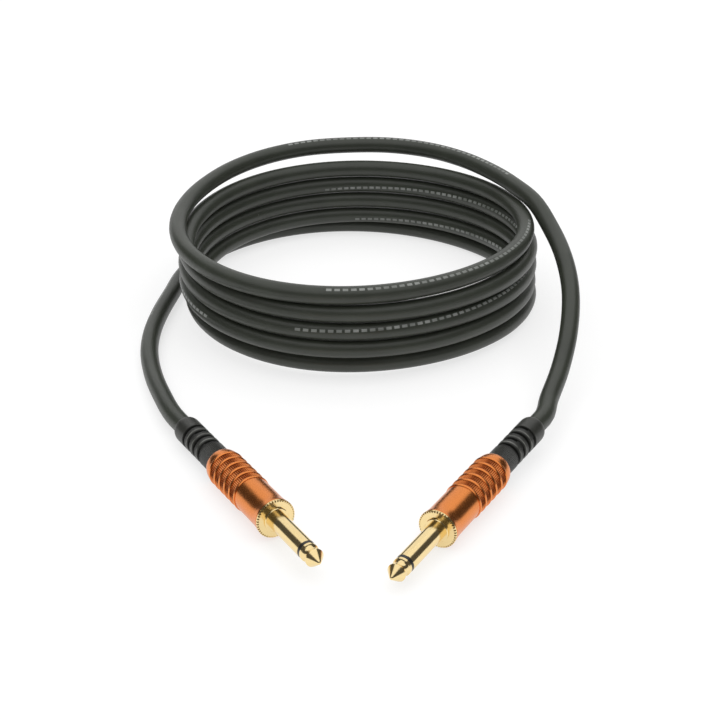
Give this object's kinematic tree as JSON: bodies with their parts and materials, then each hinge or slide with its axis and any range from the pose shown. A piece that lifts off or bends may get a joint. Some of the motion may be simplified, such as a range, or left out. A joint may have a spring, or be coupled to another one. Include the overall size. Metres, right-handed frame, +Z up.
{
  "type": "instrument cable",
  "caption": "Coiled instrument cable in a dark grey jacket, with a straight 6.35 mm plug at each end: gold shaft, copper-coloured knurled shell and slotted black boot.",
  "frame": {"origin": "middle of the footprint of the two plugs, on the surface that the cable lies on", "axes": "+X to the right across the two plugs, +Y away from the tips towards the coil, +Z up"},
  "size_m": [0.1715, 0.2868, 0.0447],
  "materials": {
    "plated_brass": "polished gold plating",
    "black_plastic": "moulded",
    "fibre": "vulcanised fibre",
    "tinned_brass": "tin plated",
    "wire_plastic": "polyethylene insulation",
    "copper": "bare copper strands",
    "solder": "bright solder",
    "liner_plastic": "clear insulating tube",
    "shell_metal": "copper-coloured anodised, partly knurled",
    "boot_rubber": "satin moulded",
    "jacket_pvc": "satin extruded",
    "screen_braid": "copper braid over insulation"
  },
  "bodies": {
    "cable_and_plugs": {"left_tip_contact": "plated_brass", "left_tip_insulator": "black_plastic", "left_sleeve": "plated_brass", "left_rear_washer": "fibre", "left_tip_lug": "tinned_brass", "left_ground_lug": "tinned_brass", "left_wire_insulation": "wire_plastic", "left_wire_strands": "copper", "left_screen_pigtail": "copper", "left_solder": "solder", "right_tip_contact": "plated_brass", "right_tip_insulator": "black_plastic", "right_sleeve": "plated_brass", "right_rear_washer": "fibre", "right_tip_lug": "tinned_brass", "right_ground_lug": "tinned_brass", "right_wire_insulation": "wire_plastic", "right_wire_strands": "copper", "right_screen_pigtail": "copper", "right_solder": "solder", "left_tail_jacket": "jacket_pvc", "coil_jacket": "jacket_pvc", "right_tail_jacket": "jacket_pvc", "screened_core": "screen_braid"},
    "left_boot_body": {"left_boot": "boot_rubber"},
    "left_shell_body": {"left_shell": "shell_metal", "left_liner": "liner_plastic"},
    "right_boot_body": {"right_boot": "boot_rubber"},
    "right_shell_body": {"right_shell": "shell_metal", "right_liner": "liner_plastic"}
  },
  "joints": [
    {"name": "left_shell_back", "type": "slide", "parent": "cable_and_plugs", "child": "left_boot_body", "axis": [-0.4937, 0.8691, -0.0297], "range_m": [0, 0.006]},
    {"name": "left_shell_unscrew", "type": "hinge", "parent": "left_boot_body", "child": "left_shell_body", "pos_m": [-0.02652, -0.01631, 0.00771], "axis": [-0.4937, 0.8691, -0.0297], "range_deg": [0, 2160]},
    {"name": "right_shell_back", "type": "slide", "parent": "cable_and_plugs", "child": "right_boot_body", "axis": [0.5133, 0.8577, 0.0297], "range_m": [0, 0.006]},
    {"name": "right_shell_unscrew", "type": "hinge", "parent": "right_boot_body", "child": "right_shell_body", "pos_m": [0.0252, -0.02086, 0.00675], "axis": [0.5133, 0.8577, 0.0297], "range_deg": [0, 2160]}
  ],
  "couplings": [
    {"joint": "left_shell_unscrew", "follows": "left_shell_back", "rad_per_m": 6283.2},
    {"joint": "right_shell_unscrew", "follows": "right_shell_back", "rad_per_m": 6283.2}
  ]
}
